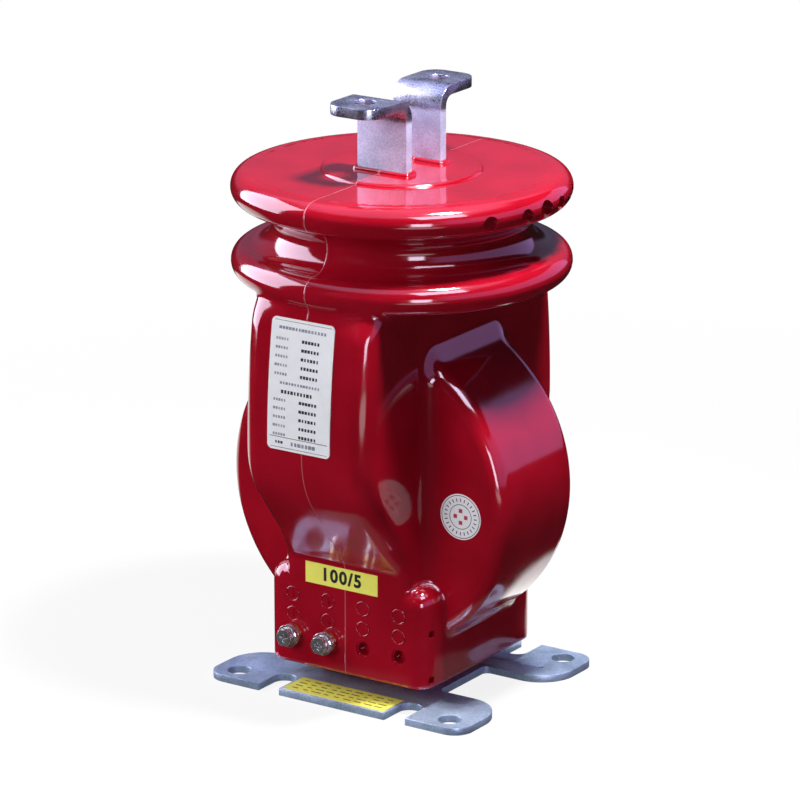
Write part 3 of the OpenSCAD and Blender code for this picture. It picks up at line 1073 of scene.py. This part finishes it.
    def carve(self, body: Piece, material: Material) -> None:
        """Cuts the recesses and sets the casting's own normals wherever its skin is left.

        Args:
            body: the casting.
            material: its finish.
        """
        for tool in self.cutters(material):
            modify(body, "BOOLEAN", object=tool, operation="DIFFERENCE", solver="EXACT")
            bpy.data.objects.remove(tool)
        mesh = body.data
        mesh.shade_smooth()
        spots = gathered(mesh.vertices, "co", 3) / MM
        owner = gathered(mesh.loops, "vertex_index", kind=int)
        sizes = gathered(mesh.polygons, "loop_total", kind=int)
        flat = np.repeat(gathered(mesh.polygons, "normal", 3), sizes, axis=0)
        slope = gradient(self, spots)
        slope /= np.linalg.norm(slope, axis=1, keepdims=True)
        on_skin = (np.abs(self(*spots.T)) < 0.03)[owner]
        follows = (flat * slope[owner]).sum(1) > 0.8
        normals = np.where((on_skin & follows)[:, None], slope[owner], flat)
        mesh.normals_split_custom_set(normals.tolist())

    def build(self, resin: Material) -> None:
        """Makes the body, its boss, the collars round the bars and the cast marks.

        Args:
            resin: their finish.
        """
        body = self.skin_object()
        body.name = body.data.name = "cast_body"
        self.carve(body, resin)
        dress(body, resin, "resin", "resin_body")
        self.build_boss(resin)
        for side, name in ((-1, "collar_front"), (1, "collar_rear")):
            self.build_collar(name, side, resin)
        face = facing((0, -self.block_hy - 0.1, self.term_z + 1.5 * self.mark_pitch))
        marks = rows_of_rings(resin).grow(
            "mark_rings", face, Across=4, Rows=2, Pitch=self.term_pitch * MM,
            Row_Pitch=self.mark_pitch * MM, Ring_Radius=self.mark_r * MM, Wire_Radius=self.mark_wire * MM,
        )
        marks.data.shade_smooth()
        dress(marks, resin, "resin")
        for column in (0, 1):
            for row in (1, 2):
                x = (column - 1.5) * self.term_pitch
                spot = (x, -self.block_hy - 0.15, self.term_z + row * self.mark_pitch)
                name, digit = f"mark_{column + 1}_{row}", str(column + 1)
                dress(plain_figure(name, digit, self.figure_tall, spot, 0.6, 0.03), resin, "resin")

    def build_boss(self, resin: Material) -> None:
        """The low round step under the bars.

        Args:
            resin: its finish.
        """
        steps = (
            (1.0, -0.4), (0.5, 0.03), (0.15, 0.25), (0.0, 0.6), (-0.3, 1.1), (-0.75, 1.6), (-1.2, 1.9),
            (-1.7, self.boss_h + 0.12), (-2.4, self.boss_h + 0.1), (-3.2, self.boss_h), (-8.0, self.boss_h),
            (2.0 - self.boss_r, self.boss_h),
        )
        turns = np.linspace(0, 2 * math.pi, 160, endpoint=False)
        rings = [
            np.stack([r * np.cos(turns), r * np.sin(turns), np.full(len(turns), self.shed_top + h)], 1)
            for r, h in ((self.boss_r + out, h) for out, h in steps)
        ]
        dress(from_rings("top_boss", rings), resin, "resin")

    def build_collar(self, name: str, side: int, resin: Material) -> None:
        """The resin that creeps up round a bar where it leaves the boss.

        Args:
            name: the piece's name.
            side: -1 for the front bar, 1 for the rear one.
            resin: its finish.
        """
        low, high, _ = in_mm(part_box("terminal_front" if side < 0 else "terminal_rear"))
        half_x, half_y = (high[0] - low[0]) / 2, self.bar_t / 2
        foot = self.shed_top + self.boss_h
        wave = np.random.default_rng(7 + side)
        bead = (
            (3.3, -0.3), (2.9, 0.1), (2.8, 0.6), (2.7, 1.1), (2.4, 1.6),
            (1.9, 2.0), (1.3, 2.2), (0.7, 2.1), (0.2, 1.9), (-0.4, 1.8),
        )
        rings = [
            rounded_ring(half_x + out, half_y + out, max(0.3, 0.4 + out), foot + lift, side * self.bar_y)
            for out, lift in bead
        ]
        sway = np.cumsum(wave.normal(0, 0.12, len(rings[0])))
        sway -= np.linspace(0, sway[-1], len(sway))
        for k, ring in enumerate(rings[2:], 2):
            ring[:, 2] += sway * min(1.0, k / 6)
        dress(from_rings(name, rings, caps=False), resin, "resin")


def plain_figure(
    name: str, text: str, tall: float, spot: Sequence[float], thick: float, bold: float, spread: float = 1.0
) -> Piece:
    """Figures that stand on the front face, readable from -Y.

    Args:
        name: the new piece's name.
        text: plain digits.
        tall: letter size in millimetres.
        spot: the middle of the text, in millimetres.
        thick: how far they stand proud.
        bold: how much wider each stroke gets, as a share of the letter size.
        spread: spacing of the letters, 1 as the font has it.

    Returns:
        The new object.
    """
    curve = bpy.data.curves.new(name, "FONT")
    curve.body = text
    curve.align_x, curve.align_y = "CENTER", "CENTER"
    curve.size = tall * MM
    curve.space_character = spread
    curve.offset = tall * bold * MM
    curve.extrude = thick / 2 * MM
    curve.resolution_u = 3
    writer = bpy.data.objects.new(name, curve)
    bpy.context.collection.objects.link(writer)
    mesh = evaluated_mesh(writer)
    bpy.data.objects.remove(writer)
    bpy.data.curves.remove(curve)
    mesh.transform(facing(spot))
    return new_object(name, mesh)


# Metal parts


@dataclass
class Hardware:
    """Base plate, bars, screws and washers. Sizes are in millimetres."""

    washer_r: float = 5.3
    washer_bore: float = 3.1
    washer_t: float = 1.5
    washer_rise: float = 0.35
    washer_gap: float = 0.30

    def build(self, zinc: Material, tin: Material, screw: Material, brass: Material) -> None:
        """Builds every outer metal piece, each in its own plating.

        Args:
            zinc: for the base plate.
            tin: for the bars.
            screw: for screws and washers.
            brass: for the terminal inserts.
        """
        for node, name, bevel, segments, material, slot in (
            ("base_plate", "mounting_plate", 0.5, 2, zinc, "zinc_plate"),
            ("terminal_front", "line_bar_front", 0.9, 3, tin, "tinned_bar"),
            ("terminal_rear", "line_bar_rear", 0.9, 3, tin, "tinned_bar"),
            ("terminal_screws", "screw_heads", 0.25, 2, screw, "zinc_screw"),
            ("plain_washers", "flat_washers", 0.15, 2, screw, "zinc_screw"),
            ("clamp_washers", "top_washers", 0.15, 2, screw, "zinc_screw"),
            ("terminal_inserts", "brass_inserts", 0.2, 2, brass, "brass_insert"),
        ):
            dress(bevelled_copy(node, name, bevel, segments), material, slot, node)
        dress(self.split_washers(), screw, "zinc_screw", "spring_washers")

    def split_washers(self) -> Piece:
        """Both spring washers, each a ring of square wire cut through and set open.

        Returns:
            One object that holds both.
        """
        low, high, centre = in_mm(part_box("spring_washers"))
        wire = self.washer_t / 2 - self.washer_rise
        bore, rim = self.washer_bore, self.washer_r
        section = ((bore, -wire), (rim, -wire), (rim, wire), (bore, wire))
        work = bmesh.new()
        for x in (low[0] + rim, high[0] - rim):
            rings = []
            for turn in np.linspace(self.washer_gap / 2, 2 * math.pi - self.washer_gap / 2, 60):
                lean = (turn / math.pi - 1) * self.washer_rise
                out = np.array((math.sin(turn), 0, math.cos(turn)))
                middle = np.array((x, centre[1] + lean * 0.9, centre[2]))
                rings.append(np.array([middle + out * r + (0, d, 0) for r, d in section]))
            washer = from_rings("washer", rings)
            work.from_mesh(washer.data)
            bpy.data.objects.remove(washer)
        return new_object("split_washers", poured(work, "split_washers"))


# Plates and stickers


@dataclass(frozen=True)
class Rows:
    """Printed rows centred at x, z on the nameplate. Sizes are in millimetres.

    Words stand pitch apart, and least is the smallest share of it that a word fills.
    """

    name: str
    grey: bool
    x: float
    z: float
    tall: float
    pitch: float
    words: int = 1
    rows: int = 1
    seed: int = 1
    least: float = 0.45


@dataclass
class Labels:
    """What is printed on the nameplate, both labels and the round sticker, all without words."""

    ink: float = 0.06
    lead: float = 5.1
    proud: float = 0.7
    arc_r: float = Casting.bulge_top_r
    arc_z: float = Casting.bulge_z

    def plate_rows(self) -> list[Rows]:
        """What stands on the nameplate: two blocks of rows, lines of their own, and rules.

        Returns:
            The rows in the order in which they are printed.
        """
        low, high, (mid, _, _) = in_mm(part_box("nameplate"))
        left, right, foot, top = mid - 13.6, mid + 6.0, low[2], high[2]
        upper, lower = top - 22.2, top - 57.8
        blocks = [
            row
            for name, z in (("upper", upper), ("lower", lower))
            for row in (
                Rows(f"names_{name}", True, left, z, 1.5, 1.8, 5, 5, 5),
                Rows(f"values_{name}", False, right, z, 1.8, 2.1, 6, 5, 11),
            )
        ]
        return [
            Rows("heading", True, mid, top - 5.6, 1.7, 2.2, 15, seed=3),
            *blocks,
            Rows("caption", True, mid, upper - 3 * self.lead, 1.5, 2.0, 14, seed=4),
            Rows("level", False, mid - 2, upper - 4 * self.lead, 2.0, 2.2, 10, seed=6),
            Rows("rule", False, mid, foot + 7.8, 0.35, 40.0 / LONGEST_WORD, least=LONGEST_WORD),
            Rows("border_top", False, mid, top - 1.6, 0.25, 39.0 / LONGEST_WORD, least=LONGEST_WORD),
            Rows("border_foot", False, mid, foot + 1.6, 0.25, 39.0 / LONGEST_WORD, least=LONGEST_WORD),
            Rows("foot", False, left, foot + 4.6, 1.6, 1.9, 3, seed=2),
            Rows("foot_middle", True, mid + 3.0, foot + 4.6, 2.2, 2.5, 7, seed=8),
        ]

    def print_plate(self, ink: Material, pale: Material) -> None:
        """Prints the nameplate's rows and bends each piece onto the plate's arc.

        Args:
            ink: dark ink.
            pale: grey ink.
        """
        front = -in_mm(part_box("resin_body"))[0][1]
        dark, light = rows_of_ink(ink), rows_of_ink(pale)
        for row in self.plate_rows():
            piece = (light if row.grey else dark).grow(
                f"plate_{row.name}", facing((row.x, 0, row.z)), Words=row.words, Rows=row.rows,
                Word_Pitch=row.pitch * MM, Row_Pitch=self.lead * MM, Letter_Height=row.tall * MM,
                Least_Length=row.pitch * row.least * MM, Ink_Thickness=self.ink * MM, Seed=row.seed,
            )
            for vertex in piece.data.vertices:
                y, z = vertex.co.y / MM, vertex.co.z / MM
                reach = math.sqrt((self.arc_r + self.proud) ** 2 - (z - self.arc_z) ** 2) - self.arc_r
                vertex.co.y = (y - front - reach) * MM
            dress(piece, pale if row.grey else ink, "name_plate")

    def build(self, ink: Material, pale: Material, red: Material) -> None:
        """Prints every label.

        Args:
            ink: dark ink.
            pale: grey ink for the nameplate's names and captions.
            red: red ink for the sticker.
        """
        self.print_plate(ink, pale)
        self.print_ratio(ink)
        self.print_base(ink)
        self.print_sticker(ink, red)

    def print_ratio(self, ink: Material) -> None:
        """Plain digits on the yellow label.

        Args:
            ink: dark ink.
        """
        low, _, middle = in_mm(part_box("ratio_label"))
        spot = (middle[0], low[1] - self.ink / 2, middle[2])
        dress(plain_figure("ratio_digits", "100/5", 11.0, spot, self.ink, 0.036, 1.16), ink, "yellow_label")

    def print_base(self, ink: Material) -> None:
        """Rows of fine print on the label of the base plate.

        Args:
            ink: dark ink.
        """
        _, high, middle = in_mm(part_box("base_label"))
        top = Matrix.Translation(Vector((middle[0], middle[1], high[2])) * MM)
        rows = rows_of_ink(ink).grow(
            "base_print", top, Words=9, Rows=4, Word_Pitch=7.4 * MM, Row_Pitch=4.4 * MM,
            Letter_Height=0.9 * MM, Least_Length=2.5 * MM, Ink_Thickness=self.ink * MM, Seed=17,
        )
        dress(rows, ink, "yellow_label")

    def print_sticker(self, ink: Material, red: Material) -> None:
        """A plain dial of rings and ticks on the round sticker.

        Args:
            ink: for rings and ticks.
            red: for the dots.
        """
        low, _, middle = in_mm(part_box("inspection_sticker"))
        place, front = facing((middle[0], low[1], middle[2])), low[1] * MM
        ring = {"Across": 1, "Rows": 1, "Pitch": 0.0, "Row_Pitch": 0.0, "Wire_Radius": 0.2 * MM}
        for name, radius in (("sticker_edge", 12.9), ("sticker_ring", 7.4)):
            made = rows_of_rings(ink).grow(name, place, Ring_Radius=radius * MM, **ring)
            for vertex in made.data.vertices:
                vertex.co.y = front + (vertex.co.y - front) * self.ink * 1.5
            dress(made, ink, "paper_label")
        for name, colour, count, radius, long, wide in (
            ("sticker_ticks", ink, 24, 10.2, 2.0, 0.6),
            ("sticker_dots", red, 4, 3.6, 2.4, 2.4),
        ):
            made = ticks_round_a_dial(colour).grow(
                name, place, Count=count, Radius=radius * MM, Tick_Length=long * MM,
                Tick_Width=wide * MM, Ink_Thickness=self.ink * MM,
            )
            dress(made, colour, "paper_label")


# What the casting hides


@dataclass(frozen=True)
class Inside:
    """Finishes of the CAD nodes that stay as they are."""

    core_z: float = Casting.drum_z
    coil_z: float = 184.0

    def build(self, zinc: Material, label: dict[str, Material]) -> None:
        """Dresses each CAD node that no piece replaces.

        Args:
            zinc: plating for the hidden screws.
            label: node name to the material of a printed sheet.
        """
        core, coil = self.core_z, self.coil_z
        iron, steel = (0.14, 0.145, 0.15), (0.33, 0.34, 0.36)
        foil, silver = (0.10, 0.10, 0.11), (0.36, 0.37, 0.38)
        varnish, lacquer = (0.30, 0.09, 0.03), (0.55, 0.20, 0.08)
        copper, dark_copper = (0.62, 0.26, 0.12), (0.42, 0.15, 0.07)
        paper, brown = (0.62, 0.48, 0.27), (0.44, 0.31, 0.16)
        bare = MetalFinish("bare_copper", dark_copper, copper, (0.25, 0.42), stretch=(1, 1, 4)).build()
        wound = {
            "core": RingFinish("core_strip", Wind.STRIP, iron, steel, core, metallic=1.0),
            "secondary_winding": RingFinish("wire_turns", Wind.WIRE, varnish, lacquer, core, metallic=0.7),
            "core_wrap": RingFinish("core_tape", Wind.TAPE, brown, paper, core, rough=0.7),
            "winding_screen": RingFinish("screen_tape", Wind.TAPE, foil, silver, core, metallic=0.8),
            "primary_coil": RingFinish("coil_strip", Wind.STRIP, dark_copper, copper, coil, True, 1.0),
            "coil_wrap": RingFinish("coil_tape", Wind.TAPE, brown, paper, coil, True, rough=0.7),
        }
        shown = {node: finish.build() for node, finish in wound.items()}
        shown |= {node: bare for node in ("coil_tails", "joint_rivets", "lead_s1", "lead_s2", "screen_lead")}
        shown |= {node: zinc for node in ("base_inserts", "base_screws")}
        laminate = SheetFinish("glass_laminate", (0.50, 0.48, 0.24), (0.38, 0.37, 0.18), 0.5)
        shown["coil_spacer"] = laminate.build()
        shown |= label
        for node, material in shown.items():
            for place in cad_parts[node].material_slots:
                place.material = material
            LOG.info("%s: finish %s", node, material.name)


# Studio


@dataclass(frozen=True)
class Lamp:
    """A soft box aimed at the object.

    Angles are in degrees, the azimuth from -Y towards +X; lengths are in metres, power in watts.
    """

    name: str
    azimuth: float
    elevation: float
    distance: float
    size: tuple[float, float]
    power: float
    matt: bool = True
    gloss: bool = True


@dataclass(frozen=True)
class Card:
    """A round bright patch of the floor that only reflections see, in millimetres."""

    x: float
    y: float
    outer: float
    inner: float
    glow: float


def bearing(azimuth: float, elevation: float) -> Vector:
    """The direction at an azimuth and an elevation, in degrees."""
    a, e = math.radians(azimuth), math.radians(elevation)
    return Vector((math.sin(a) * math.cos(e), -math.cos(a) * math.cos(e), math.sin(e)))


@dataclass
class Studio:
    """Floor, world, lamps and camera. Lengths in metres."""

    target: tuple[float, float, float] = (0.0, 0.0, 0.17009)
    azimuth: float = 33.67
    elevation: float = 17.0
    distance: float = 2.78766
    focal_px: float = 4723.81
    centre_px: float = 401.89
    frame_px: float = 800.0
    floor_half: float = 12.0
    floor_glow: float = 0.01
    shadow_reach: tuple[float, float] = (300, 900)
    shadow_share: float = 0.14
    matt_glow: float = 0.08
    room_glow: float = 0.012
    ceiling_glow: float = 0.95
    right_glow: float = 0.75
    rear_glow: tuple[float, float] = (0.14, 0.45)
    lilac: Colour = (0.84, 0.78, 1.0)
    lamps: tuple[Lamp, ...] = (
        Lamp("key", 88, 71, 0.75, (0.11, 0.11), 10.0),
        Lamp("upper_box", 66, 53, 2.0, (0.95, 0.62), 24.0, matt=False),
        Lamp("front_fill", -10, 24, 2.2, (0.9, 0.9), 21.0, gloss=False),
        Lamp("lower_box", 46, 4, 2.2, (0.50, 0.80), 17.0, matt=False),
        Lamp("left_fill", -76, 36, 2.0, (1.2, 1.2), 25.0, gloss=False),
        Lamp("left_box", -76, 20, 2.0, (1.78, 2.13), 104.0, matt=False),
    )
    cards: tuple[Card, ...] = (
        Card(-570, 150, 300, 190, 1.3),
        Card(760, -750, 330, 230, 2.4),
        Card(30, 150, 78, 60, 1.6),
        Card(0, 0, 118, 104, 0.15),
    )

    def camera(self) -> None:
        """Places the camera as the photograph's was."""
        data = bpy.data.cameras.new("camera")
        data.sensor_width = 36.0
        data.lens = self.focal_px / self.frame_px * data.sensor_width
        data.shift_x = (self.frame_px / 2 - self.centre_px) / self.frame_px
        data.clip_start, data.clip_end = 0.05, 60.0
        camera = self.aimed("camera", data, bearing(self.azimuth, self.elevation), self.distance)
        bpy.context.scene.camera = camera

    def aimed(self, name: str, data: bpy.types.ID, way: Vector, distance: float) -> Piece:
        """Links a camera or a lamp that looks at the target from a distance along a way.

        Args:
            name: the object's name.
            data: the camera or lamp.
            way: from the target to it.
            distance: in metres.

        Returns:
            The new object.
        """
        made = bpy.data.objects.new(name, data)
        bpy.context.collection.objects.link(made)
        made.location = Vector(self.target) + way * distance
        made.rotation_mode = "QUATERNION"
        made.rotation_quaternion = (-way).to_track_quat("-Z", "Y")
        return made

    def rays(self, s: Tree) -> list[Sock]:
        """Whether a ray comes from the camera, and whether from a glossy surface."""
        path = s.node("ShaderNodeLightPath")
        return [Sock(s, path.outputs[name]) for name in ("Is Camera Ray", "Is Glossy Ray")]

    def floor(self) -> None:
        """A pale floor that reads white to the camera and keeps the object's shadow."""
        work = bmesh.new()
        bmesh.ops.create_grid(work, x_segments=1, y_segments=1, size=self.floor_half)
        floor = new_object("floor", poured(work, "floor"))
        s = Shader("pale_floor")
        camera, glossy = self.rays(s)
        x, y, _ = s.xyz()
        mirrored = self.floor_glow
        for card in self.cards:
            mirrored = mirrored + (x - card.x).hypot(y - card.y).step(card.outer, card.inner) * card.glow
        white = s.sock("ShaderNodeEmission", {"Color": (1, 1, 1, 1), "Strength": camera + glossy * mirrored})
        albedo = s.mix(camera, (0.30, 0.30, 0.32), (0.86, 0.86, 0.87))
        matt = s.sock("ShaderNodeBsdfDiffuse", {"Color": albedo})
        away = x.hypot(y).step(*self.shadow_reach) * self.shadow_share
        share = camera * ((1 - self.shadow_share) + away) + glossy
        both = s.sock("ShaderNodeMixShader", {0: share, 1: matt, 2: white})
        s.node("ShaderNodeOutputMaterial", {0: both})
        floor.data.materials.append(s.material)

    def world(self) -> None:
        """White to the camera; to reflections a dim room with a pale ceiling, right side and rear."""
        world = bpy.data.worlds.new("studio")
        world.use_nodes = True
        bpy.context.scene.world = world
        s = Tree(world.node_tree)
        x, y, z = s.split("Generated")
        turn = x.math("ARCTAN2", 0 - y) * (180 / math.pi)
        ceiling = z.step(0.72, 0.86)
        right = turn.step(52, 68) * z.step(-0.06, 0.02) * z.step(0.48, 0.43)
        rear = turn.step(-96, -114) * (1 - ceiling)
        behind = z.step(0.02, 0.16) * self.rear_glow[0] + z.step(0.45, 0.70) * self.rear_glow[1]
        mirrored = self.room_glow + ceiling * self.ceiling_glow + right * self.right_glow + rear * behind
        camera, glossy = self.rays(s)
        strength = camera + (1 - camera) * (glossy * mirrored + (1 - glossy) * self.matt_glow)
        room = s.mix(right, (0.86, 0.86, 1.45), (0.95, 0.62, 1.50))
        tint = s.mix(camera, room, (1.0, 1.0, 1.0))
        sky = s.sock("ShaderNodeBackground", {"Color": tint, "Strength": strength})
        s.node("ShaderNodeOutputWorld", {0: sky})

    def lights(self) -> None:
        """Soft boxes aimed at the object; those that only reflections see are lilac."""
        for lamp in self.lamps:
            data = bpy.data.lights.new(lamp.name, "AREA")
            data.shape = "RECTANGLE"
            data.size, data.size_y = lamp.size
            data.energy = lamp.power
            data.color = (1.0, 1.0, 1.0) if lamp.matt else self.lilac
            made = self.aimed(lamp.name, data, bearing(lamp.azimuth, lamp.elevation), lamp.distance)
            made.visible_diffuse, made.visible_glossy = lamp.matt, lamp.gloss
            made.visible_camera = False

    def build(self) -> None:
        """Sets the whole stage."""
        self.floor()
        self.world()
        self.lights()
        self.camera()
        bpy.context.scene.view_settings.view_transform = "Standard"


def main() -> None:
    """Builds every piece in order."""
    logging.basicConfig(level=logging.INFO, format="%(name)s %(message)s")
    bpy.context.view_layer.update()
    resin = ResinFinish().build()
    zinc, tin, screw, brass = (
        MetalFinish(*values).build()
        for values in (
            ("zinc_plating", (0.33, 0.45, 0.60), (0.54, 0.67, 0.86), (0.34, 0.50), 1.0, 0.02, 0.58),
            ("tin_plating", (0.22, 0.25, 0.36), (0.70, 0.73, 0.86), (0.24, 0.38), 0.9, 0.03, 0.96, 342.0),
            ("screw_plating", (0.58, 0.58, 0.59), (0.97, 0.95, 0.93), (0.14, 0.24), 1.5, 0.01, 0.88),
            ("turned_brass", (0.55, 0.40, 0.16), (0.78, 0.60, 0.28), (0.18, 0.30), 1.5, 0.01),
        )
    )
    white, yellow, ink, pale, red = (
        SheetFinish(*values).build()
        for values in (
            ("white_print", (0.93, 0.94, 0.95), (0.88, 0.89, 0.91), 0.32),
            ("yellow_print", (0.96, 0.93, 0.15), (0.92, 0.88, 0.12), 0.34),
            ("dark_ink", (0.006, 0.007, 0.010), (0.014, 0.015, 0.020), 0.5),
            ("grey_ink", (0.22, 0.24, 0.30), (0.36, 0.38, 0.44), 0.4),
            ("red_ink", (0.45, 0.03, 0.06), (0.52, 0.05, 0.08), 0.4),
        )
    )
    Casting().build(resin)
    Hardware().build(zinc, tin, screw, brass)
    Labels().build(ink, pale, red)
    sheets = {"nameplate": white, "inspection_sticker": white, "ratio_label": yellow, "base_label": yellow}
    Inside().build(screw, sheets)
    Studio().build()


if __name__ == "__main__":
    main()
